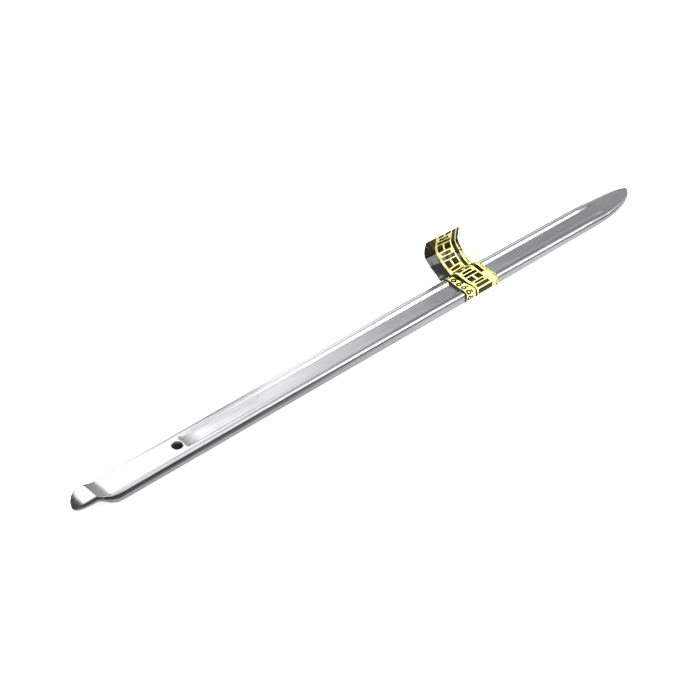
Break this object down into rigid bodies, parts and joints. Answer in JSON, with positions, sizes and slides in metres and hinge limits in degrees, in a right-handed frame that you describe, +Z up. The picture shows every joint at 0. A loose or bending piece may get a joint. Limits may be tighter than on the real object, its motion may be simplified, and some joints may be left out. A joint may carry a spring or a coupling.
{
  "type": "tyre lever",
  "caption": "Straight steel tyre lever with an upturned spoon-shaped hook at one end, a flat point at the other, a hanging hole, fullered faces and a film label with a creased free end.",
  "frame": {"origin": "on the hanging hole's axis, in the plane of the bar's underside", "axes": "+X along the bar from the hanging hole to the flat point, +Y across the bar to the side on which the label's free end stands off, +Z up out of the face to which the hook rises"},
  "size_m": [0.4998, 0.0431, 0.0287],
  "materials": {
    "steel": "satin, finely ground, bright",
    "label_film": "glossy printed vinyl film, yellow with black blocks",
    "label_glue": "clear pressure-sensitive adhesive"
  },
  "bodies": {
    "bar": {"lever": "steel", "label_adhesive": "label_glue", "label_first_turn": "label_film", "label_second_layer": "label_film"},
    "tail": {"label_tail": "label_film"},
    "flap": {"label_flap": "label_film"}
  },
  "joints": [
    {"name": "tail_fold", "type": "hinge", "parent": "bar", "child": "tail", "pos_m": [0.25925, 0.0117, 0.00779], "axis": [1, 0, 0], "range_deg": [-30, 100], "stiffness_Nm_per_rad": 0.003},
    {"name": "flap_crease", "type": "hinge", "parent": "tail", "child": "flap", "pos_m": [0.25925, 0.0302, 0.01459], "axis": [1, 0, 0], "range_deg": [-50, 70], "stiffness_Nm_per_rad": 0.001}
  ]
}
